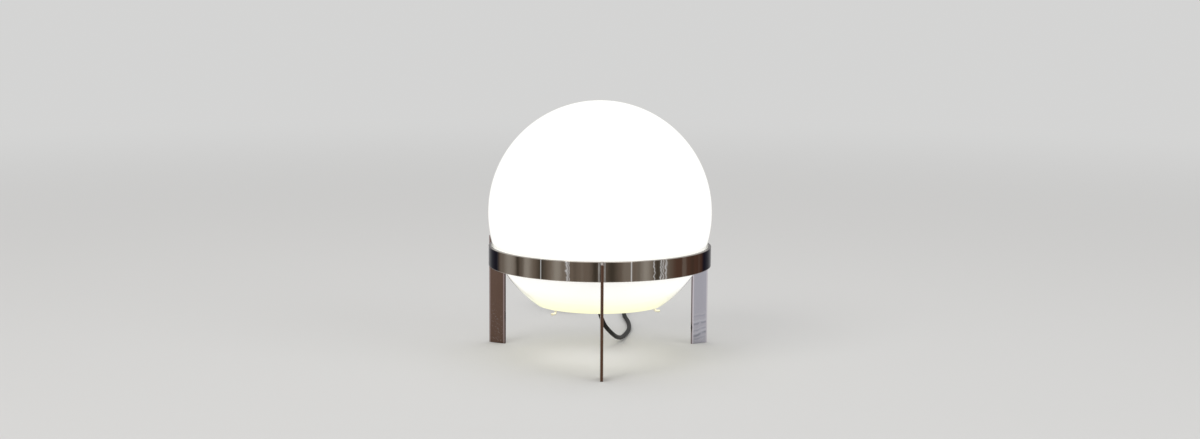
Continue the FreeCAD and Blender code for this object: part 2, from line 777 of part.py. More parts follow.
def plug_body():
    """Moulded plug: a ribbed tapered tail and a flat body that widens to a finger stop."""
    tail = Part.makeCone(3.4, 5.6, PLUG_RELIEF, ORIGIN, vec(1, 0, 0))
    for i in range(4):
        at = 3.0 + 4.6 * i
        groove = Part.makeCylinder(9, 1.5, vec(at, 0, 0), vec(1, 0, 0))
        core = Part.makeCylinder(3.5 + 0.46 * i, 1.5, vec(at, 0, 0), vec(1, 0, 0))
        tail = tail.cut(groove.cut(core))
    x0, x1 = PLUG_RELIEF - 1.0, PLUG_RELIEF + PLUG_LENGTH
    half = 7.4
    corners = [(x0, -6.4), (x0, 6.4), (x0 + 6, 9.6), (x0 + 18, 10.4), (x1 - 4, 12.4), (x1, 12.4),
               (x1, -12.4), (x1 - 4, -12.4), (x0 + 18, -10.4), (x0 + 6, -9.6)]
    block = prism(corners, 2 * half, -half)
    flat = [e for e in block.Edges if e.BoundBox.ZMax - e.BoundBox.ZMin < 0.1 and e.BoundBox.XMax > x0 + 0.5]
    block = block.makeChamfer(1.6, flat)
    return place_plug(tail.fuse(block).removeSplitter())


def plug_blades():
    """Two flat blades with the usual hole near the tip, 12.7 mm apart."""
    root = PLUG_RELIEF + PLUG_LENGTH
    blades = []
    for side in (1, -1):
        y = side * 6.35
        blade = box(root, root + 17.5, y - 0.75, y + 0.75, -3.175, 3.175)
        at_tip = [e for e in blade.Edges if e.BoundBox.XMin > root + 17]
        corners = [e for e in at_tip if e.BoundBox.YMax - e.BoundBox.YMin > 1.4]
        blade = blade.makeChamfer(0.7, corners)
        blade = blade.cut(Part.makeCylinder(1.6, 4, vec(root + 12.5, y - 2, 0), vec(0, 1, 0)))
        blades.append(place_plug(blade))
    return Part.makeCompound(blades)


# --- Whole lamp ------------------------------------------------------------

def all_nodes():
    nodes = {
        "ring_band": ring_band(),
        "weld_fillets": weld_fillets(),
        "seat_strip": seat_strip(),
        "glass_globe": glass_globe(),
        "spring_collar": spring_collar(),
        "shade_ring": shade_ring(),
        "strain_relief": strain_relief(),
        "gland_nut": gland_nut(),
        "holder_cap": holder_cap(),
        "holder_barrel": holder_barrel(),
        "holder_insert": holder_insert(),
        "terminal_screws": terminal_screws(),
        "screw_shell": screw_shell(),
        "centre_contact": centre_contact(),
        "cord_tail": cord_tail(),
        "lead_wires": lead_wires(),
        "bulb_tip": bulb_tip(),
        "bulb_insulator": bulb_insulator(),
        "bulb_cap": bulb_cap(),
        "bulb_glass": bulb_glass(),
        "bulb_stem": bulb_stem(),
        "bulb_leads": bulb_leads(),
        "bulb_filament": bulb_filament(),
        "cord_drop": cord_tube("cord_drop", DROP_ROUTE),
        "cord_floor": cord_tube("cord_floor", FLOOR_ROUTE),
        "cord_link": cord_tube("cord_link", LINK_ROUTE),
        "cord_coil": cord_coil(),
        "cord_end": cord_tube("cord_end", PLUG_ROUTE),
        "coil_tie": coil_tie(),
        "switch_case_lower": switch_case_lower(),
        "switch_case_upper": switch_case_upper(),
        "switch_rocker": switch_rocker(),
        "rocker_pin": rocker_pin(),
        "switch_contacts": switch_contacts(),
        "switch_screws": switch_screws(),
        "plug_body": plug_body(),
        "plug_blades": plug_blades(),
    }
    leg = blade_leg()
    for name, azimuth in LEG_AZIMUTHS.items():
        nodes[name] = about_axis(leg, azimuth)
    arm = spring_arm()
    for name, azimuth in ARM_AZIMUTHS.items():
        nodes[name] = about_axis(arm, azimuth)
    return nodes


def main():
    os.makedirs("parts", exist_ok=True)
    for name, shape in all_nodes().items():
        shape.translate(vec(0, AXIS_Y, 0))
        shape.exportStep(f"parts/{name}.step")
        b = shape.BoundBox
        print(f"{name}: {len(shape.Solids)} solid(s), valid {shape.isValid()}, volume {shape.Volume:.0f}, "
              f"z {b.ZMin:.2f} to {b.ZMax:.2f}")


main()
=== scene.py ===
import math

import bmesh
import bpy
from mathutils import Matrix, Vector


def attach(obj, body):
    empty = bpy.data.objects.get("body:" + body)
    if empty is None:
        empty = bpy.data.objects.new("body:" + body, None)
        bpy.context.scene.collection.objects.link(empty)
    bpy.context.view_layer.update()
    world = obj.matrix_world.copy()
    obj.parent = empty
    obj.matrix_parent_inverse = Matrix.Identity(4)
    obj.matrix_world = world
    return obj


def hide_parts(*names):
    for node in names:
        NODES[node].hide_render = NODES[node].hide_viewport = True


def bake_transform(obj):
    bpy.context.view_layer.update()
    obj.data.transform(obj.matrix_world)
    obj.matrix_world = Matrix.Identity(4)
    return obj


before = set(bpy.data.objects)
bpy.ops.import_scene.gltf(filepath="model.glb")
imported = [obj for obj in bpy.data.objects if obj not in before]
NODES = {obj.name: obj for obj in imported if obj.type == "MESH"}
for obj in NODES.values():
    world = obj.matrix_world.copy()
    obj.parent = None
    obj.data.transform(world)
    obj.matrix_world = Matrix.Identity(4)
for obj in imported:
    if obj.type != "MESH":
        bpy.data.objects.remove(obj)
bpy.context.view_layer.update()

# Globe table lamp: a lit opal globe in a chromed ring on three blades.
# Sizes are written in millimetres about the lamp's own axis, and mm() turns them into metres.
AXIS_Y = 10.0


def mm(x, y, z):
    """A point in millimetres about the lamp's axis, as metres in the frame."""
    return Vector((x, y + AXIS_Y, z)) / 1000.0


# --- Camera -------------------------------------------------------------------

CAMERA_DISTANCE = 2.3719
CAMERA_HEIGHT = 0.4853
CAMERA_YAW = -0.0185
CAMERA_PITCH = math.radians(7.914)
CAMERA_ROLL = 0.0056
CAMERA_LENS = 63.456


def make_camera():
    data = bpy.data.cameras.new("camera")
    data.lens = CAMERA_LENS
    data.sensor_width = 36.0
    data.sensor_fit = "HORIZONTAL"
    camera = bpy.data.objects.new("camera", data)
    bpy.context.scene.collection.objects.link(camera)
    turn = (
        Matrix.Rotation(CAMERA_YAW, 4, "Z")
        @ Matrix.Rotation(math.pi / 2 - CAMERA_PITCH, 4, "X")
        @ Matrix.Rotation(CAMERA_ROLL, 4, "Z")
    )
    axis = mm(0, 0, 0)
    back = Vector((math.sin(CAMERA_YAW), -math.cos(CAMERA_YAW), 0)) * CAMERA_DISTANCE
    place = axis + back
    place.z = CAMERA_HEIGHT
    camera.matrix_world = Matrix.Translation(place) @ turn
    bpy.context.scene.camera = camera


make_camera()
bpy.context.scene.view_settings.view_transform = "Standard"


# --- Node trees ---------------------------------------------------------------

class Value:
    """A node's output. Python's operators on it add Math nodes."""

    def __init__(self, graph, socket):
        self.graph = graph
        self.socket = socket

    def math(self, operation, *values):
        """A Math node of that operation on the values."""
        return self.graph.node(
            "ShaderNodeMath", {"operation": operation}, dict(enumerate(values))
        )

    def other(self, name):
        """Another output of the same node."""
        return Value(self.graph, self.socket.node.outputs[name])

    def __add__(self, b):
        return self.math("ADD", self, b)

    def __radd__(self, b):
        return self.math("ADD", b, self)

    def __sub__(self, b):
        return self.math("SUBTRACT", self, b)

    def __rsub__(self, b):
        return self.math("SUBTRACT", b, self)

    def __mul__(self, b):
        return self.math("MULTIPLY", self, b)

    def __rmul__(self, b):
        return self.math("MULTIPLY", b, self)

    def __truediv__(self, b):
        return self.math("DIVIDE", self, b)

    def __neg__(self):
        return self.math("MULTIPLY", self, -1.0)

    def sine(self):
        return self.math("SINE", self)

    def cosine(self):
        return self.math("COSINE", self)

    def size(self):
        """The value without its sign."""
        return self.math("ABSOLUTE", self)

    def bell(self, middle, width):
        """1 at the middle, falling smoothly to about a third one width away."""
        away = (self - middle) / width
        return self.math("EXPONENT", -(away * away))

    def most(self, b):
        """The larger of the two."""
        return self.math("MAXIMUM", self, b)

    def least(self, b):
        """The smaller of the two."""
        return self.math("MINIMUM", self, b)

    def rise(self, low, high):
        """0 below low, 1 above high, and smooth between them."""
        return self.graph.node(
            "ShaderNodeMapRange",
            {"interpolation_type": "SMOOTHSTEP"},
            {"Value": self, "From Min": low, "From Max": high},
        )


class Graph:
    """A node tree. node() adds one node: its settings first, then its sockets."""

    def __init__(self, tree):
        self.tree = tree

    def node(self, kind, settings=None, inputs=None, output=0):
        made = self.tree.nodes.new(kind)
        for key, value in (settings or {}).items():
            setattr(made, key, value)
        for key, value in (inputs or {}).items():
            if isinstance(value, Value):
                self.tree.links.new(value.socket, made.inputs[key])
            else:
                made.inputs[key].default_value = value
        return Value(self, made.outputs[output] if made.outputs else None)


class Finish(Graph):
    """A procedural material, read in the piece's own coordinates."""

    def __init__(self, name):
        self.material = bpy.data.materials.new(name)
        self.material.use_nodes = True
        super().__init__(self.material.node_tree)
        self.tree.nodes.clear()
        self.place = self.node("ShaderNodeTexCoord", output="Object")

    def axes(self, vector=None):
        """The vector's three parts; without one, those of the place on the piece."""
        x = self.node("ShaderNodeSeparateXYZ", None, {0: vector or self.place})
        return x, x.other("Y"), x.other("Z")

    def point(self, x, y, z):
        return self.node("ShaderNodeCombineXYZ", None, {"X": x, "Y": y, "Z": z})

    def scaled(self, factors):
        """The place on the piece, stretched along each axis."""
        return self.node("ShaderNodeVectorMath", {"operation": "MULTIPLY"}, {0: self.place, 1: factors})

    def noise(self, scale, detail=3.0, roughness=0.5, vector=None):
        inputs = {"Vector": vector or self.place, "Scale": scale, "Detail": detail, "Roughness": roughness}
        return self.node("ShaderNodeTexNoise", None, inputs)

    def cells(self, scale):
        """0 at the middle of each of many small cells, rising towards its edge."""
        return self.node("ShaderNodeTexVoronoi", None, {"Vector": self.place, "Scale": scale})

    def tint(self, factor, first, second):
        """first where factor is 0, second where it is 1."""
        return self.node(
            "ShaderNodeMix", {"data_type": "RGBA"}, {0: factor, 6: first, 7: second}, output=2
        )

    def bump(self, height, strength, distance):
        inputs = {"Height": height, "Strength": strength, "Distance": distance}
        return self.node("ShaderNodeBump", None, inputs)

    def shader(self, inputs):
        return self.node("ShaderNodeBsdfPrincipled", None, inputs)

    def done(self, shader):
        self.node("ShaderNodeOutputMaterial", None, {"Surface": shader})
        return self.material


def rgb(r, g, b):
    """A colour with full alpha."""
    return (r, g, b, 1.0)


# --- Finishes -----------------------------------------------------------------

# The reflections and glints painted into the ring's colour. Each has its angle round the ring from the
# front leg, to the right, and its width, both in radians.
PALE_REFLECTIONS = ((-0.93, 0.09), (-0.70, 0.05), (-0.395, 0.05), (0.385, 0.06))
DARK_REFLECTIONS = ((-0.81, 0.03), (-0.545, 0.05), (-0.055, 0.035), (0.085, 0.06), (0.505, 0.035))
CRISP_GLINTS = ((-1.145, 0.006), (-0.551, 0.004), (0.257, 0.005))
WAVY_GLINTS = (
    (-0.303, 0.009), (-0.285, 0.004), (0.470, 0.006), (0.538, 0.007), (0.560, 0.006), (0.588, 0.010),
)
# The ring's colours are painted reflections and highlights: taupe and brown plate, pale and dark patches,
# glints, near black sides and pale rims.
BAND_REFLECTED_TAUPE = rgb(0.175, 0.135, 0.104)
BAND_REFLECTED_BROWN = rgb(0.100, 0.053, 0.036)
BAND_REFLECTED_PALE = rgb(0.37, 0.33, 0.28)
BAND_REFLECTED_DARK = rgb(0.045, 0.035, 0.024)
BAND_PAINTED_GLINT = rgb(0.86, 0.86, 0.87)
BAND_REFLECTED_SIDES = rgb(0.016, 0.016, 0.022)
BAND_RIM_HIGHLIGHT = rgb(0.80, 0.74, 0.66)
BAND_LOW = 0.1045
BAND_HIGH = 0.1267


def chromed_band():
    """Polished plate on the ring, its reflections painted into its colour: broad smooth painted
    reflections parted by a few upright painted glints, near black painted reflections on its sides and
    pale painted highlights on its rims.
    """
    f = Finish("chromed_band")
    x, y, z = f.axes()
    angle = x.math("ARCTAN2", x, AXIS_Y / 1000 - y)
    turned = angle.size()
    sway = f.noise(55.0, 2.0, 0.5, f.point(angle, z * 2.0, 0.0)) - 0.5
    ripple = f.noise(1.0, 1.0, 0.5, f.point(angle * 14.0, 0.0, z * 190.0)) - 0.5
    column = angle + sway * 0.02
    reflection_clouds = f.noise(7.0, 1.5, 0.45, f.point(column, 0.0, 0.0))
    behind = turned.rise(1.42, 1.62)
    right = angle.rise(0.60, 0.72) * (1.0 - behind)
    # Painted reflections: brown plate on the right side, pale and dark patches over the ring, more of them
    # at random behind it.
    tone = f.tint(right, BAND_REFLECTED_TAUPE, BAND_REFLECTED_BROWN)
    pale = reflection_clouds.rise(0.50, 0.62) * (0.25 + behind * 0.45)
    dark = (1.0 - reflection_clouds.rise(0.34, 0.46)) * (0.35 + behind * 0.35)
    for middle, width in PALE_REFLECTIONS:
        pale = pale.most(column.bell(middle, width) * 0.85)
    for middle, width in DARK_REFLECTIONS:
        dark = dark.most(column.bell(middle, width) * 0.85)
    tone = f.tint(pale, tone, BAND_REFLECTED_PALE)
    tone = f.tint(dark, tone, BAND_REFLECTED_DARK)
    # Painted glints: crisp and wavy upright lines.
    glints = angle.bell(*CRISP_GLINTS[0])
    for middle, width in CRISP_GLINTS[1:]:
        glints = glints.most(angle.bell(middle, width))
    for middle, width in WAVY_GLINTS:
        glints = glints.most((angle + ripple * 0.05).bell(middle, width) * (0.8 + ripple))
    tone = f.tint(glints * 0.8, tone, BAND_PAINTED_GLINT)
    # Painted near black reflections on the ring's sides, fading out behind.
    side_reflection = turned.rise(1.08, 1.15) * (1.0 - behind)
    tone = f.tint(side_reflection * 0.95, tone, BAND_REFLECTED_SIDES)
    # Painted highlights along the top and bottom rims.
    top_rim_highlight = z.rise(BAND_HIGH - 0.0005, BAND_HIGH - 0.0002)
    low_rim_highlight = 1.0 - z.rise(BAND_LOW + 0.0004, BAND_LOW + 0.0007)
    tone = f.tint(top_rim_highlight.most(low_rim_highlight) * 0.7, tone, BAND_RIM_HIGHLIGHT)
    dust = f.noise(60.0, 5.0, 0.6)
    wiping = f.noise(900.0, 2.0, 0.5, f.scaled((1.0, 1.0, 0.08)))
    normal = f.bump(wiping, 0.04, 0.00003)
    return f.done(f.shader({
        "Base Color": tone, "Metallic": 1.0, "Roughness": 0.08 + dust * 0.07,
        "Specular Tint": rgb(0.45, 0.45, 0.47), "Normal": normal,
    }))


# A blade runs out from the ring, between these distances from the lamp's axis.
BLADE_INNER = 0.126
BLADE_OUTER = 0.147
BLADE_MIDDLE = (BLADE_INNER + BLADE_OUTER) / 2

BACK_FACE = (0.34, 0.30, 0.27)
BACK_CLOUD = (0.46, 0.42, 0.39)
SCUFF_PALE = rgb(0.80, 0.79, 0.84)
SCUFF_DARK = rgb(0.22, 0.22, 0.27)
RUB_DARK = rgb(0.24, 0.25, 0.30)
RUB_PALE = rgb(0.80, 0.80, 0.88)

RUB_WOBBLE = 0.003

# Long rubs low on the right blade: height, slope outwards, half width and darkness.
RUBS = (
    (0.0065, 0.10, 0.0009, 0.35), (0.0112, 0.26, 0.0014, 0.75), (0.0170, 0.20, 0.0008, 0.35),
    (0.0243, 0.12, 0.0012, 0.60), (0.0330, 0.06, 0.0010, 0.25),
)


def chromed_blade(name, azimuth, front, face, cloud, line, edge, scuffs, rubs=()):
    """Polished plate on a blade: painted highlights in pale lines beside its edges, painted dark
    reflections on its edges, slanted scuffs.
    front is the side of the blade, 1 or -1, that has the painted reflection tones face and cloud, and
    rubs."""
    f = Finish(name)
    x, y, z = f.axes()
    y = y - AXIS_Y / 1000
    turn = math.radians(azimuth)
    out = x * math.sin(turn) - y * math.cos(turn)
    side = x * math.cos(turn) + y * math.sin(turn)
    # The side given by front takes the painted reflection tones face and cloud; the other side keeps the
    # back tones.
    forward = (side * front).rise(-0.0006, 0.0006)
    clouds = f.noise(14.0, 3.0, 0.5, f.scaled((1.0, 1.0, 0.25))).rise(0.3, 0.7)
    behind = f.tint(clouds, rgb(*BACK_FACE), rgb(*BACK_CLOUD))
    tone = f.tint(forward, behind, f.tint(clouds, rgb(*face), rgb(*cloud)))
    low = 1.0 - z.rise(0.018, 0.060)
    slant = f.point(out * 260.0 + z * 150.0, 0.0, z * 520.0 - out * 300.0)
    lines = f.noise(1.0, 3.0, 0.65, slant)
    marks = lines.rise(0.56, 0.66) * low * scuffs
    dents = (1.0 - lines.rise(0.34, 0.42)) * low * scuffs
    tone = f.tint(marks * 0.6, tone, SCUFF_PALE)
    tone = f.tint(dents * 0.5, tone, SCUFF_DARK)
    uneven = f.noise(1.0, 2.0, 0.5, f.point(out * 140.0, 0.0, z * 60.0))
    for height, slope, width, dark in rubs:
        path = z - (out - BLADE_MIDDLE) * slope + (uneven - 0.5) * RUB_WOBBLE
        rub = path.bell(height, width) * uneven.rise(0.30, 0.55) * forward
        lip = path.bell(height + 2 * width, width) * forward
        tone = f.tint(rub * dark, tone, RUB_DARK)
        tone = f.tint(lip * (dark * 0.4), tone, RUB_PALE)
    # Painted highlights: pale lines beside the outer and inner edges.
    outer_highlight = out.rise(BLADE_OUTER - 0.0022, BLADE_OUTER - 0.0016)
    inner_highlight = 1.0 - out.rise(BLADE_INNER + 0.0014, BLADE_INNER + 0.0020)
    tone = f.tint(outer_highlight.most(inner_highlight), tone, rgb(*line))
    # Painted dark reflections on the outer and inner edges, between the two faces.
    outer_edge_reflection = out.rise(BLADE_OUTER - 0.0010, BLADE_OUTER - 0.0007)
    inner_edge_reflection = 1.0 - out.rise(BLADE_INNER + 0.0004, BLADE_INNER + 0.0008)
    between_faces = 1.0 - side.size().rise(0.0010, 0.0013)
    tone = f.tint(outer_edge_reflection.most(inner_edge_reflection) * between_faces, tone, rgb(*edge))
    dust = f.noise(70.0, 5.0, 0.6)
    wiping = f.noise(800.0, 2.0, 0.5, f.scaled((1.0, 1.0, 0.08)))
    normal = f.bump(wiping * 0.5 + marks, 0.05, 0.00005)
    return f.done(f.shader({
        "Base Color": tone, "Metallic": 1.0, "Roughness": 0.11 + dust * 0.09 + marks * 0.2,
        "Specular Tint": rgb(0.6, 0.6, 0.6), "Normal": normal,
    }))


def metal(name, colour, worn, rough, grain, grain_scale=700.0):
    """Plain metal with a fine grain and small cloudy marks."""
    f = Finish(name)
    marks = f.noise(90.0, 5.0, 0.62)
    tone = f.tint(marks.rise(0.42, 0.72), rgb(*colour), rgb(*worn))
    lines = f.noise(grain_scale, 3.0, 0.6, f.scaled((1.0, 1.0, 0.15)))
    normal = f.bump(lines, grain, 0.00006)
    return f.done(f.shader({
        "Base Color": tone, "Metallic": 1.0, "Roughness": rough + marks * 0.14, "Normal": normal,
    }))


def opal_glass():
    """Lit opal glass: white, warmer towards the mouth, with a painted dark reflection in a thin line at
    its edge.
    """
    f = Finish("opal_glass")
    z = f.axes()[2]
    low = 1.0 - z.rise(0.054, 0.090)
    clouds = f.noise(16.0, 3.0, 0.5)
    skin = f.tint(low, rgb(0.70, 0.695, 0.68), rgb(0.64, 0.63, 0.42))
    # The glow is painted light: it stands in for the bulb's light coming through the glass.
    glow = f.tint(low, rgb(0.96, 0.955, 0.93), rgb(1.0, 0.99, 0.58))
    glow = f.tint(clouds.rise(0.35, 0.75) * 0.25, glow, rgb(1.0, 0.99, 0.92))
    ripple = f.noise(22.0, 2.0, 0.4)
    normal = f.bump(ripple, 0.04, 0.0008)
    glass = f.shader({
        "Base Color": skin, "Roughness": 0.16 + clouds * 0.05, "Emission Color": glow,
        "Emission Strength": 0.62, "Coat Weight": 0.35, "Coat Roughness": 0.06, "Normal": normal,
    })
    # Painted dark reflection: a dark shader mixed in where the glass is seen edge on.
    edge = f.shader({"Base Color": rgb(0.10, 0.095, 0.045), "Roughness": 0.12})
    facing = f.node("ShaderNodeLayerWeight", None, {"Blend": 0.5}, output="Facing")
    rim = facing.rise(0.84, 0.97) * 0.8
    return f.done(f.node("ShaderNodeMixShader", None, {0: rim, 1: glass, 2: edge}))


def moulding(name, colour, rough, pebble, scale=900.0, coat=0.0):
    """Moulded resin: a fine pebble, faint flow clouds and handling shine."""
    f = Finish(name)
    clouds = f.noise(55.0, 4.0, 0.55)
    lighter = tuple(c * 1.7 + 0.004 for c in colour)
    tone = f.tint(clouds.rise(0.35, 0.75), rgb(*colour), rgb(*lighter))
    grain = f.cells(scale)
    normal = f.bump(grain, pebble, 0.00008)
    return f.done(f.shader({
        "Base Color": tone, "Roughness": rough + clouds * 0.12, "Coat Weight": coat,
        "Coat Roughness": 0.10, "Normal": normal,
    }))


def sheath(name, colour, gloss):
    """Soft dull sheath: dust in its skin and a faint pebble."""
    f = Finish(name)
    dust = f.noise(120.0, 5.0, 0.65)
    lighter = tuple(c * 2.2 + 0.004 for c in colour)
    tone = f.tint(dust.rise(0.45, 0.8), rgb(*colour), rgb(*lighter))
    skin = f.noise(1500.0, 2.0, 0.5)
    normal = f.bump(skin, 0.10, 0.00005)
    return f.done(f.shader({
        "Base Color": tone, "Roughness": 0.42 + dust * 0.16, "Specular IOR Level": gloss,
        "Normal": normal,
    }))


def glazed_ceramic():
    f = Finish("glazed_ceramic")
    clouds = f.noise(80.0, 4.0, 0.6)
    specks = f.cells(420.0).rise(0.02, 0.10)
    tone = f.tint(clouds, rgb(0.84, 0.82, 0.76), rgb(0.70, 0.67, 0.60))
    tone = f.tint((1.0 - specks) * 0.5, tone, rgb(0.40, 0.36, 0.30))
    normal = f.bump(clouds, 0.08, 0.0002)
    return f.done(f.shader({
        "Base Color": tone, "Roughness": 0.20 + clouds * 0.12, "Coat Weight": 0.5, "Normal": normal,
    }))


def clear_skin(name, colour, alpha, rough):
    """Clear glass or soft plastic, thin enough to show as a tinted film."""
    f = Finish(name)
    clouds = f.noise(60.0, 3.0, 0.5)
    edge = f.node("ShaderNodeLayerWeight", None, {"Blend": 0.35}, output="Facing")
    tone = f.tint(clouds, rgb(*colour), rgb(*(c * 0.92 for c in colour)))
    normal = f.bump(clouds, 0.05, 0.0002)
    return f.done(f.shader({
        "Base Color": tone, "Roughness": rough + clouds * 0.05, "Alpha": (alpha + edge * 0.4).least(1.0),
        "Normal": normal,
    }))


def frosted_glow():
    """The bulb's glass, lit, palest over the filament."""
    f = Finish("frosted_glow")
    z = f.axes()[2]
    height = z.rise(0.135, 0.185)
    frost = f.noise(1400.0, 2.0, 0.5)
    clouds = f.noise(45.0, 3.0, 0.5)
    tone = f.tint(height, rgb(0.62, 0.54, 0.42), rgb(0.70, 0.67, 0.60))
    glow = f.tint(height, rgb(0.46, 0.28, 0.12), rgb(1.0, 0.88, 0.66))
    normal = f.bump(frost, 0.15, 0.00005)
    return f.done(f.shader({
        "Base Color": tone, "Roughness": 0.38 + clouds * 0.10, "Emission Color": glow,
        "Emission Strength": 0.5, "Normal": normal,
    }))


def hot_wire():
    f = Finish("hot_wire")
    glow = f.tint(f.noise(600.0), rgb(1.0, 0.50, 0.16), rgb(1.0, 0.74, 0.36))
    return f.done(f.shader({
        "Base Color": glow, "Roughness": 0.6, "Emission Color": glow, "Emission Strength": 4.0,
    }))


# One thread of the weave takes this much of the strap's map, in metres.
THREAD_SPACING = 0.0011
THREADS = 2 * math.pi / THREAD_SPACING


def woven_tie():
    """Plain weave, one thread over the next, on the strap's own map."""
    f = Finish("woven_tie")
    uv = f.node("ShaderNodeTexCoord", output="UV")
    u, v, _ = f.axes(uv)
    warp = (u * THREADS).sine()
    weft = (v * THREADS).sine()
    over = (u * (THREADS / 2)).sine() * (v * (THREADS / 2)).sine()
    height = warp.size() * over.rise(-0.1, 0.1) + weft.size() * (1.0 - over.rise(-0.1, 0.1))
    fuzz = f.noise(700.0, 4.0, 0.6)
    # Painted highlight and shade: the threads' crowns lighter and the hollows between them darker, with
    # random fuzz in the tone.
    tone = f.tint(height * 0.6 + fuzz * 0.4, rgb(0.010, 0.010, 0.011), rgb(0.060, 0.060, 0.064))
    normal = f.bump(height + fuzz * 0.5, 0.5, 0.00010)
    return f.done(f.shader({
        "Base Color": tone, "Roughness": 0.78 + fuzz * 0.15, "Sheen Weight": 0.5,
        "Sheen Roughness": 0.4, "Normal": normal,
    }))


def looked_at(graph):
    """1 on rays from the camera, straight or by way of a mirror or of glass."""
    rays = graph.node("ShaderNodeLightPath", output="Is Camera Ray")
    return rays.most(rays.other("Is Glossy Ray")).most(rays.other("Is Transmission Ray"))


def stage_paint(name, colour):
    """Pale matt paint that keeps its shadows near the lamp and passes into the backdrop's
    tone further off."""
    f = Finish(name)
    grain = f.noise(2.0, 3.0, 0.5)
    tone = f.tint(grain * 0.15, rgb(*colour), rgb(*(c * 0.97 for c in colour)))
    away = f.node("ShaderNodeVectorMath", {"operation": "LENGTH"}, {0: f.place}, output="Value")
    paint = f.node("ShaderNodeBsdfDiffuse", None, {"Color": tone})
    flat = f.node("ShaderNodeEmission", None, {"Color": rgb(*colour), "Strength": 1.0})
    far = away.rise(0.7, 3.0)
    return f.done(f.node("ShaderNodeMixShader", None, {0: looked_at(f) * far, 1: paint, 2: flat}))


BAND = chromed_band()
# Each blade's reflections are painted: after its azimuth and side come its painted reflection tones, the
# colour of the painted highlights beside its edges, that of the painted dark reflections on its edges, and
# the scuffs' strength.
BLADE_FRONT = chromed_blade(
    "chromed_blade_front", 0.0, 1, (0.20, 0.135, 0.10), (0.27, 0.19, 0.15), (0.22, 0.15, 0.11),
    (0.115, 0.062, 0.042), 0.4,
)
BLADE_LEFT = chromed_blade(
    "chromed_blade_left", -120.0, 1, (0.125, 0.075, 0.055), (0.175, 0.115, 0.090), (0.36, 0.28, 0.27),
    (0.030, 0.012, 0.009), 0.3,
)
BLADE_RIGHT = chromed_blade(
    "chromed_blade_right", 120.0, -1, (0.48, 0.47, 0.53), (0.60, 0.60, 0.68), (0.72, 0.68, 0.74),
    (0.20, 0.15, 0.145), 0.5, RUBS,
)
FILLET = metal("chromed_fillet", (0.31, 0.29, 0.27), (0.44, 0.42, 0.39), 0.12, 0.10)
SPRING = metal("spring_wire", (0.95, 0.92, 0.76), (0.82, 0.74, 0.54), 0.24, 0.15, 1500.0)
ZINC = metal("zinc_plate", (0.60, 0.60, 0.61), (0.74, 0.73, 0.70), 0.26, 0.18)
BRASS = metal("pressed_brass", (0.72, 0.54, 0.24), (0.50, 0.34, 0.14), 0.22, 0.12)
NICKEL = metal("nickelled_cap", (0.70, 0.68, 0.63), (0.52, 0.49, 0.44), 0.24, 0.15)
SOLDER = metal("solder", (0.55, 0.55, 0.56), (0.40, 0.40, 0.41), 0.40, 0.35, 300.0)
WIRE = metal("lead_wire", (0.55, 0.53, 0.50), (0.38, 0.36, 0.33), 0.30, 0.10)
OPAL = opal_glass()
RESIN = moulding("black_resin", (0.016, 0.014, 0.013), 0.20, 0.10, 700.0, 0.3)
CASE = moulding("switch_resin", (0.009, 0.009, 0.0095), 0.42, 0.30, 1100.0)
ROCKER = moulding("rocker_resin", (0.007, 0.007, 0.0075), 0.18, 0.06, 900.0, 0.4)
PLUG = moulding("plug_vinyl", (0.008, 0.008, 0.0085), 0.44, 0.25, 800.0)
BLACK_GLASS = moulding("black_glass", (0.010, 0.010, 0.016), 0.08, 0.02, 200.0, 0.6)
SHEATH = sheath("cord_sheath", (0.0070, 0.0062, 0.0060), 0.14)
CORE = sheath("core_sheath", (0.20, 0.075, 0.035), 0.5)
CERAMIC = glazed_ceramic()
CLEAR_STRIP = clear_skin("clear_strip", (0.80, 0.80, 0.74), 0.45, 0.25)
CLEAR_GLASS = clear_skin("clear_glass", (0.88, 0.92, 0.90), 0.25, 0.06)
FROSTED = frosted_glow()
HOT = hot_wire()
WEAVE = woven_tie()
THREAD = sheath("stitch_thread", (0.10, 0.10, 0.105), 0.25)

CAD_FINISHES = {
    BAND: ["ring_band"],
    BLADE_FRONT: ["leg_front"],
    BLADE_LEFT: ["leg_left"],
    BLADE_RIGHT: ["leg_right"],
    FILLET: ["weld_fillets"],
    CLEAR_STRIP: ["seat_strip"],
    OPAL: ["glass_globe"],
    SPRING: ["spring_arm_front", "spring_arm_right", "spring_arm_rear"],
    ZINC: ["spring_collar", "gland_nut", "terminal_screws", "switch_screws", "rocker_pin"],
    RESIN: ["holder_cap", "holder_barrel", "shade_ring"],
    CERAMIC: ["holder_insert"],
    BRASS: ["screw_shell", "centre_contact", "switch_contacts", "plug_blades"],
    SHEATH: ["cord_tail", "strain_relief"],
    CORE: ["lead_wires"],
    FROSTED: ["bulb_glass"],
    NICKEL: ["bulb_cap"],
    BLACK_GLASS: ["bulb_insulator"],
    SOLDER: ["bulb_tip"],
    CLEAR_GLASS: ["bulb_stem"],
    WIRE: ["bulb_leads"],
    CASE: ["switch_case_lower", "switch_case_upper"],
    ROCKER: ["switch_rocker"],
}


def dress_nodes():
    for finish, names in CAD_FINISHES.items():
        for name in names:
            node = NODES[name]
            if not node.material_slots:
                node.data.materials.append(finish)
            for slot in node.material_slots:
                slot.material = finish


dress_nodes()


# --- Cord ---------------------------------------------------------------------

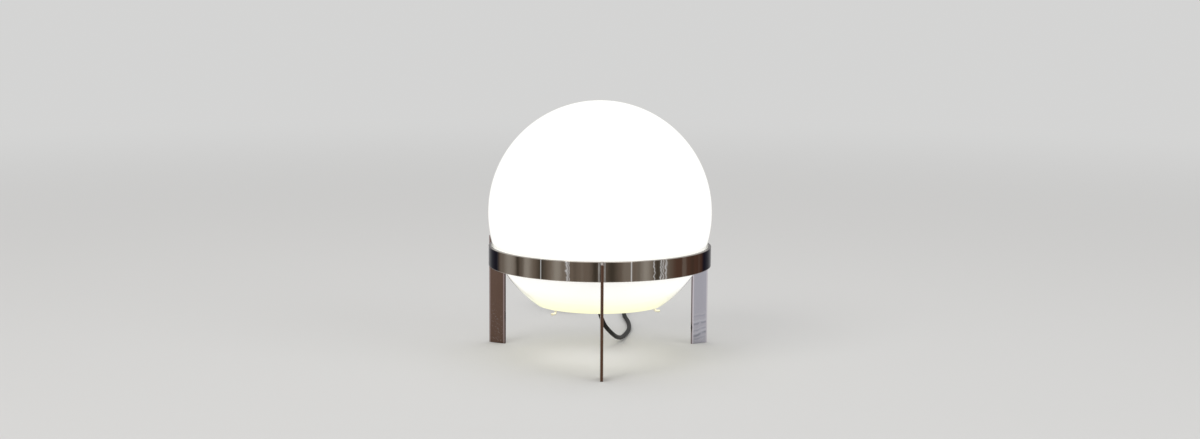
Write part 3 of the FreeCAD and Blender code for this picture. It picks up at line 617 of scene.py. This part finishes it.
CORD_R = 2.5
CORD_SIDES = 14
CORD_STEPS = 6
CORD_LIE = 2.6
OUTLET_Z = 50.0
SWITCH_INLET_Z = 7.5
COIL_MIDDLE = (-28.0, 316.0)
COIL_PITCH = 5.5
COIL_INNER_R = 20.0
COIL_TURNS = 7
COIL_OUTER_R = COIL_INNER_R + COIL_PITCH * COIL_TURNS / 2
COIL_LIE = 3.7
COIL_TOP_LAYER = COIL_LIE + COIL_PITCH
COIL_BACK = COIL_MIDDLE[1] + COIL_OUTER_R
COIL_POINTS_A_TURN = 16

DROP = [
    (0.0, 0.0, OUTLET_Z), (2.0, 0.5, 42.8), (6.2, 6.0, 32.2), (13.2, 18.4, 22.4),
    (18.6, 36.0, 14.5), (23.4, 58.0, 8.2), (28.6, 82.0, 3.8),
]
FLOOR = [
    (37.2, 128.0, CORD_LIE), (39.4, 155.0, CORD_LIE), (39.0, 188.0, CORD_LIE),
    (36.2, 216.0, CORD_LIE), (34.8, 240.0, CORD_LIE + 0.4),
    (36.0, 258.0, SWITCH_INLET_Z), (36.0, 268.0, SWITCH_INLET_Z),
]
LINK = [
    (36.0, 326.0, SWITCH_INLET_Z), (36.0, 334.0, SWITCH_INLET_Z), (33.0, 344.5, 5.6),
    (25.6, 352.8, 4.0), (15.4, 357.2, COIL_LIE), (4.0, 357.8, COIL_LIE),
    (-9.0, COIL_BACK, COIL_LIE), (-23.0, COIL_BACK, COIL_LIE),
]
TO_PLUG = [
    (-33.0, COIL_BACK, COIL_TOP_LAYER), (-42.0, COIL_BACK, COIL_TOP_LAYER),
    (-52.4, 351.0, 11.0), (-59.6, 342.2, 14.2), (-61.8, 330.8, 17.6),
    (-58.6, 319.86, 19.4), (-53.6, 311.2, 19.4),
]


def coil_points():
    """Seven turns: in on the lower layer, up at the middle, out on the upper one."""
    half = COIL_TURNS / 2
    points = []
    for i in range(COIL_TURNS * COIL_POINTS_A_TURN + 1):
        turn = i / COIL_POINTS_A_TURN
        radius = COIL_OUTER_R - COIL_PITCH * (half - abs(turn - half))
        climb = min(1.0, max(0.0, (turn - half + 0.25) / 0.5))
        angle = math.radians(90 + 360 * turn)
        points.append((
            COIL_MIDDLE[0] + radius * math.cos(angle),
            COIL_MIDDLE[1] + radius * math.sin(angle),
            COIL_LIE + COIL_PITCH * (3 * climb**2 - 2 * climb**3),
        ))
    return points


def spline_line(name, points, resolution):
    """The points of a quadratic NURBS line with those control points, in metres."""
    curve = bpy.data.curves.new(name, "CURVE")
    curve.dimensions = "3D"
    spline = curve.splines.new("NURBS")
    spline.points.add(len(points) - 1)
    for point, place in zip(spline.points, points):
        point.co = (*mm(*place), 1.0)
    spline.order_u = 3
    spline.use_endpoint_u = True
    spline.resolution_u = resolution
    holder = bpy.data.objects.new(name, curve)
    line = bpy.data.meshes.new_from_object(holder)
    places = [v.co.copy() for v in line.vertices]
    bpy.data.objects.remove(holder)
    bpy.data.curves.remove(curve)
    bpy.data.meshes.remove(line)
    return places


def link_object(name, mesh):
    thing = bpy.data.objects.new(name, mesh)
    bpy.context.scene.collection.objects.link(thing)
    return thing


def smooth(mesh):
    mesh.polygons.foreach_set("use_smooth", [True] * len(mesh.polygons))


def tube_mesh(name, line, radius, sides):
    """A closed round tube along the line, mapped in metres along and round it."""
    mesh = bpy.data.meshes.new(name)
    build = bmesh.new()
    uv = build.loops.layers.uv.new("UVMap")
    way = (line[1] - line[0]).normalized()
    side = way.orthogonal().normalized()
    rings, along = [], [0.0]
    for i, place in enumerate(line):
        before, after = line[max(i - 1, 0)], line[min(i + 1, len(line) - 1)]
        new_way = (after - before).normalized()
        side = way.rotation_difference(new_way) @ side
        way = new_way
        up = way.cross(side).normalized()
        side = up.cross(way).normalized()
        ring = []
        for k in range(sides):
            angle = 2 * math.pi * k / sides
            ring.append(build.verts.new(place + (side * math.cos(angle) + up * math.sin(angle)) * radius))
        rings.append(ring)
        if i:
            along.append(along[-1] + (place - line[i - 1]).length)
    girth = 2 * math.pi * radius
    for i in range(len(rings) - 1):
        for k in range(sides):
            n = (k + 1) % sides
            face = build.faces.new((rings[i][k], rings[i][n], rings[i + 1][n], rings[i + 1][k]))
            corners = ((i, k), (i, k + 1), (i + 1, k + 1), (i + 1, k))
            for loop, (a, b) in zip(face.loops, corners):
                loop[uv].uv = (along[a], girth * b / sides)
    build.faces.new(list(reversed(rings[0])))
    build.faces.new(rings[-1])
    bmesh.ops.recalc_face_normals(build, faces=build.faces)
    build.to_mesh(mesh)
    build.free()
    smooth(mesh)
    return mesh


def make_cord():
    line = spline_line("cord_line", DROP + FLOOR + LINK + coil_points() + TO_PLUG, CORD_STEPS)
    cord = link_object("power_cord", tube_mesh("power_cord", line, CORD_R / 1000, CORD_SIDES))
    cord.data.materials.append(SHEATH)
    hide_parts("cord_drop", "cord_floor", "cord_link", "cord_coil", "cord_end")
    mm(22, 88, 3)
    mm(0, 0, OUTLET_Z)
    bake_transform(cord)
    return cord, line


cord, cord_line = make_cord()


# --- Geometry trees -----------------------------------------------------------

def tree_input(tree, name, kind, value):
    socket = tree.interface.new_socket(name, in_out="INPUT", socket_type=kind)
    socket.default_value = value
    return socket


def settle(thing, tree, values):
    """Runs the tree on the object and returns its result as a plain mesh object."""
    modifier = thing.modifiers.new(tree.name, "NODES")
    modifier.node_group = tree
    for socket in tree.interface.items_tree:
        if socket.item_type == "SOCKET" and socket.in_out == "INPUT" and socket.name in values:
            modifier[socket.identifier] = values[socket.name]
    graph = bpy.context.evaluated_depsgraph_get()
    mesh = bpy.data.meshes.new_from_object(thing.evaluated_get(graph))
    name = thing.name
    bpy.data.objects.remove(thing)
    mesh.name = name
    made = link_object(name, mesh)
    smooth(mesh)
    return made


# --- Strap round the coil -----------------------------------------------------

TIE_WIDTH = 9.0
TIE_THICK = 0.9
TIE_CORNER = 2.2
CORNER_STEPS = 8
EDGE_STEPS = 6
GAP_BESIDE = 0.6
GAP_OVER = 0.2
TIE_HIGH = COIL_TOP_LAYER + CORD_R + GAP_OVER + TIE_THICK / 2

# The tail lies along the top of the strap between these two distances from the coil's middle.
TAIL_ENDS = (22.0, 36.0)
TAIL_SINK = 0.1


def strap_path():
    """The strap's middle line, in millimetres from the coil's middle: (x, z)."""
    half = TIE_THICK / 2
    inner = COIL_INNER_R - CORD_R - GAP_BESIDE + half
    outer = COIL_OUTER_R + CORD_R + GAP_BESIDE + half
    low = COIL_LIE - CORD_R - GAP_OVER - half
    high = TIE_HIGH
    corner = TIE_CORNER
    path = []
    centres = (
        (outer - corner, high - corner, 90), (outer - corner, low + corner, 0),
        (inner + corner, low + corner, -90), (inner + corner, high - corner, -180),
    )
    for cx, cz, start in centres:
        for k in range(CORNER_STEPS + 1):
            angle = math.radians(start - 90 * k / CORNER_STEPS)
            path.append((cx + corner * math.cos(angle), cz + corner * math.sin(angle)))
    return path


def add_strip(build, uv, path, closed):
    """Adds a flat strip with soft edges along the path, square across the coil's turns."""
    section = []
    half_w, half_t = TIE_WIDTH / 2, TIE_THICK / 2
    for side, start in ((1, -90), (-1, 90)):
        for k in range(EDGE_STEPS + 1):
            angle = math.radians(start + 180 * k / EDGE_STEPS)
            section.append((
                side * (half_w - half_t) + half_t * math.cos(angle), half_t * math.sin(angle),
            ))
    count, rings, along = len(path), [], [0.0]
    for i, (px, pz) in enumerate(path):
        nx, nz = path[(i + 1) % count] if closed else path[min(i + 1, count - 1)]
        bx, bz = path[i - 1] if closed else path[max(i - 1, 0)]
        way = Vector((nx - bx, 0, nz - bz)).normalized()
        out = Vector((0, 1, 0)).cross(way)
        ring = []
        for across, thick in section:
            x, y, z = Vector((px, across, pz)) + out * thick
            ring.append(build.verts.new(mm(COIL_MIDDLE[0] + x, COIL_MIDDLE[1] + y, z)))
        rings.append(ring)
        along.append(along[-1] + math.hypot(nx - px, nz - pz) / 1000)
    sides = len(section)
    for i in range(count if closed else count - 1):
        for k in range(sides):
            n = (k + 1) % sides
            face = build.faces.new((
                rings[i][k], rings[i][n], rings[(i + 1) % count][n], rings[(i + 1) % count][k],
            ))
            across = [section[j][0] / 1000 for j in (k, n, n, k)]
            for loop, a, b in zip(face.loops, (along[i], along[i], along[i + 1], along[i + 1]), across):
                loop[uv].uv = (a, b)
    if not closed:
        build.faces.new(list(reversed(rings[0])))
        build.faces.new(rings[-1])


def tail_path():
    """The strap's sewn-down end, on top of the strap, its tips sinking into it."""
    start, end = TAIL_ENDS
    low = TIE_HIGH + TAIL_SINK
    high = TIE_HIGH + TIE_THICK - TAIL_SINK
    return [
        (start, low), (start + 1.0, high), ((start + end) / 2, high), (end - 1.0, high), (end, low),
    ]


def strap_mesh():
    """A flat woven strap closed on itself, with its sewn tail."""
    mesh = bpy.data.meshes.new("coil_strap")
    build = bmesh.new()
    uv = build.loops.layers.uv.new("UVMap")
    add_strip(build, uv, strap_path(), True)
    add_strip(build, uv, tail_path(), False)
    bmesh.ops.recalc_face_normals(build, faces=build.faces)
    build.to_mesh(mesh)
    build.free()
    smooth(mesh)
    return mesh


# The seam's distance from the strap's middle line and from the tail's tips, and its threads.
SEAM_ASIDE = 3.0
SEAM_INSET = 1.8
STITCH_PITCH = 1.7
STITCH_LENGTH = 1.2
STITCH_R = 0.18


def stitch_tree(finish):
    """Lays short threads end to end along the line that it is given."""
    tree = bpy.data.node_groups.new("stitch_row", "GeometryNodeTree")
    tree.interface.new_socket("Seam", in_out="INPUT", socket_type="NodeSocketGeometry")
    tree_input(tree, "Pitch", "NodeSocketFloat", STITCH_PITCH / 1000)
    tree_input(tree, "Thread Length", "NodeSocketFloat", STITCH_LENGTH / 1000)
    tree_input(tree, "Thread Radius", "NodeSocketFloat", STITCH_R / 1000)
    tree.interface.new_socket("Geometry", in_out="OUTPUT", socket_type="NodeSocketGeometry")
    g = Graph(tree)
    given = g.node("NodeGroupInput")
    pitch, radius = given.other("Pitch"), given.other("Thread Radius")
    places = g.node("GeometryNodeCurveToPoints", {"mode": "LENGTH"}, {"Curve": given, "Length": pitch})
    ball = g.node("GeometryNodeMeshUVSphere", None, {"Segments": 8, "Rings": 6, "Radius": 1.0})
    size = g.node(
        "ShaderNodeCombineXYZ", None, {"X": radius, "Y": radius, "Z": given.other("Thread Length") / 2}
    )
    thread = g.node("GeometryNodeTransform", None, {"Geometry": ball, "Scale": size})
    laid = g.node("GeometryNodeInstanceOnPoints", None, {
        "Points": places, "Instance": thread, "Rotation": places.other("Rotation"),
    })
    whole = g.node("GeometryNodeRealizeInstances", None, {"Geometry": laid})
    dressed = g.node("GeometryNodeSetMaterial", None, {"Geometry": whole, "Material": finish})
    g.node("NodeGroupOutput", None, {"Geometry": dressed})
    return tree


def path_object(name, points):
    """A curve object of straight runs through the points, in millimetres."""
    curve = bpy.data.curves.new(name, "CURVE")
    curve.dimensions = "3D"
    spline = curve.splines.new("POLY")
    spline.points.add(len(points) - 1)
    for point, place in zip(spline.points, points):
        point.co = (*mm(*place), 1.0)
    path = bpy.data.objects.new(name, curve)
    bpy.context.scene.collection.objects.link(path)
    return path


def make_stitches():
    """One seam round the strap's tail, on its upper face."""
    top = TIE_HIGH + 1.5 * TIE_THICK - TAIL_SINK
    low_x = COIL_MIDDLE[0] + TAIL_ENDS[0] + SEAM_INSET
    high_x = COIL_MIDDLE[0] + TAIL_ENDS[1] - SEAM_INSET
    near = COIL_MIDDLE[1] - SEAM_ASIDE
    far = COIL_MIDDLE[1] + SEAM_ASIDE
    corners = [(low_x, near, top), (high_x, near, top), (high_x, far, top), (low_x, far, top)]
    seam = path_object("strap_stitches", corners + corners[:1])
    stitches = settle(seam, stitch_tree(THREAD), {
        "Pitch": STITCH_PITCH / 1000,
        "Thread Length": STITCH_LENGTH / 1000,
        "Thread Radius": STITCH_R / 1000,
    })
    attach(stitches, "stand")
    return stitches


def make_strap():
    strap = link_object("coil_strap", strap_mesh())
    strap.data.materials.append(WEAVE)
    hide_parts("coil_tie")
    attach(strap, "stand")
    return strap


strap = make_strap()
stitches = make_stitches()


# --- Plug ---------------------------------------------------------------------

SAME_PLACE = 1e-6
SKIN_GRAIN = 0.0005
SKIN_ROUNDS = 5


def make_plug():
    """The moulded plug with its corners and ribs rounded, as vinyl leaves the mould."""
    source = NODES["plug_body"].data
    build = bmesh.new()
    build.from_mesh(source)
    bmesh.ops.remove_doubles(build, verts=build.verts, dist=SAME_PLACE)
    mesh = bpy.data.meshes.new("plug_moulding")
    build.to_mesh(mesh)
    build.free()
    rough = link_object("plug_moulding", mesh)
    skin = rough.modifiers.new("skin", "REMESH")
    skin.mode = "VOXEL"
    skin.voxel_size = SKIN_GRAIN
    soft = rough.modifiers.new("soft", "SMOOTH")
    soft.factor = 0.5
    soft.iterations = SKIN_ROUNDS
    graph = bpy.context.evaluated_depsgraph_get()
    moulded = bpy.data.meshes.new_from_object(rough.evaluated_get(graph))
    bpy.data.objects.remove(rough)
    moulded.name = "plug_moulding"
    moulded.materials.clear()
    moulded.materials.append(PLUG)
    smooth(moulded)
    plug = link_object("plug_moulding", moulded)
    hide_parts("plug_body")
    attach(plug, "stand")
    return plug


plug = make_plug()

mm(0, 0, OUTLET_Z)


# --- Filament -----------------------------------------------------------------

WINDING_PITCH = 0.52
WINDING_R = 0.36
WINDING_WIRE_R = 0.09
FILAMENT_TIPS = [(-13.0, 0.0, 182.4), (-4.6, 3.6, 186.0), (4.6, 3.6, 186.0), (13.0, 0.0, 182.4)]


def winding_tree(finish):
    """Winds a wire in a helix along the curve that it is given."""
    tree = bpy.data.node_groups.new("wire_winding", "GeometryNodeTree")
    tree.interface.new_socket("Path", in_out="INPUT", socket_type="NodeSocketGeometry")
    tree_input(tree, "Pitch", "NodeSocketFloat", WINDING_PITCH / 1000)
    tree_input(tree, "Winding Radius", "NodeSocketFloat", WINDING_R / 1000)
    tree_input(tree, "Wire Radius", "NodeSocketFloat", WINDING_WIRE_R / 1000)
    tree.interface.new_socket("Geometry", in_out="OUTPUT", socket_type="NodeSocketGeometry")
    g = Graph(tree)
    given = g.node("NodeGroupInput")
    pitch, radius, wire = given.other("Pitch"), given.other("Winding Radius"), given.other("Wire Radius")
    steps = g.node(
        "GeometryNodeResampleCurve", {"mode": "LENGTH"}, {"Curve": given, "Length": pitch / 8.0}
    )
    along = g.node("GeometryNodeSplineParameter", output="Length")
    angle = along / pitch * (2 * math.pi)
    way = g.node("GeometryNodeInputTangent")
    side = g.node("GeometryNodeInputNormal")
    up = g.node("ShaderNodeVectorMath", {"operation": "CROSS_PRODUCT"}, {0: way, 1: side})
    part = [
        g.node("ShaderNodeVectorMath", {"operation": "SCALE"}, {0: vector, "Scale": share * radius})
        for vector, share in ((side, angle.cosine()), (up, angle.sine()))
    ]
    offset = g.node("ShaderNodeVectorMath", {"operation": "ADD"}, {0: part[0], 1: part[1]})
    wound = g.node("GeometryNodeSetPosition", None, {"Geometry": steps, "Offset": offset})
    ring = g.node("GeometryNodeCurvePrimitiveCircle", None, {"Resolution": 6, "Radius": wire})
    skin = g.node(
        "GeometryNodeCurveToMesh", None, {"Curve": wound, "Profile Curve": ring, "Fill Caps": True}
    )
    whole = g.node("GeometryNodeRealizeInstances", None, {"Geometry": skin})
    dressed = g.node("GeometryNodeSetMaterial", None, {"Geometry": whole, "Material": finish})
    g.node("NodeGroupOutput", None, {"Geometry": dressed})
    return tree


def make_filament():
    """A tungsten coil in three spans between the lead wires' tips."""
    filament = settle(path_object("filament_coil", FILAMENT_TIPS), winding_tree(HOT), {
        "Pitch": WINDING_PITCH / 1000,
        "Winding Radius": WINDING_R / 1000,
        "Wire Radius": WINDING_WIRE_R / 1000,
    })
    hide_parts("bulb_filament")
    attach(filament, "bulb")


make_filament()


# --- Stage and light ----------------------------------------------------------

STAGE_TONE = (0.66, 0.66, 0.655)


def make_floor():
    """A plain round floor that runs on to the horizon."""
    count, radius = 48, 40.0
    rim = [
        (radius * math.cos(2 * math.pi * k / count), radius * math.sin(2 * math.pi * k / count), 0.0)
        for k in range(count)
    ]
    mesh = bpy.data.meshes.new("floor")
    mesh.from_pydata(rim, [], [list(range(count))])
    floor = link_object("floor", mesh)
    floor.data.materials.append(stage_paint("stage_paint", STAGE_TONE))


def area_light(name, place, aim, size, power, colour):
    data = bpy.data.lights.new(name, "AREA")
    data.shape = "RECTANGLE"
    data.size, data.size_y = size
    data.energy = power
    data.color = colour
    lamp = bpy.data.objects.new(name, data)
    lamp.location = place
    lamp.rotation_euler = (Vector(aim) - Vector(place)).to_track_quat("-Z", "Y").to_euler()
    bpy.context.scene.collection.objects.link(lamp)


def make_world():
    world = bpy.data.worlds.new("studio")
    bpy.context.scene.world = world
    world.use_nodes = True
    world.node_tree.nodes.clear()
    g = Graph(world.node_tree)
    soft = g.node("ShaderNodeBackground", None, {"Color": rgb(1.0, 0.99, 0.98), "Strength": 0.70})
    pale = g.node("ShaderNodeBackground", None, {"Color": rgb(*STAGE_TONE), "Strength": 1.0})
    both = g.node("ShaderNodeMixShader", None, {0: looked_at(g), 1: soft, 2: pale})
    g.node("ShaderNodeOutputWorld", None, {"Surface": both})


make_floor()
make_world()
area_light("key", (-1.6, -1.8, 2.2), (0, 0, 0.15), (1.6, 1.2), 20.0, (1.0, 0.985, 0.96))
area_light("fill", (1.9, -1.4, 1.4), (0, 0, 0.15), (1.6, 1.2), 9.0, (0.96, 0.98, 1.0))
area_light("over", (0.0, 0.4, 2.4), (0, 0.1, 0.0), (1.8, 1.8), 10.0, (1.0, 1.0, 1.0))
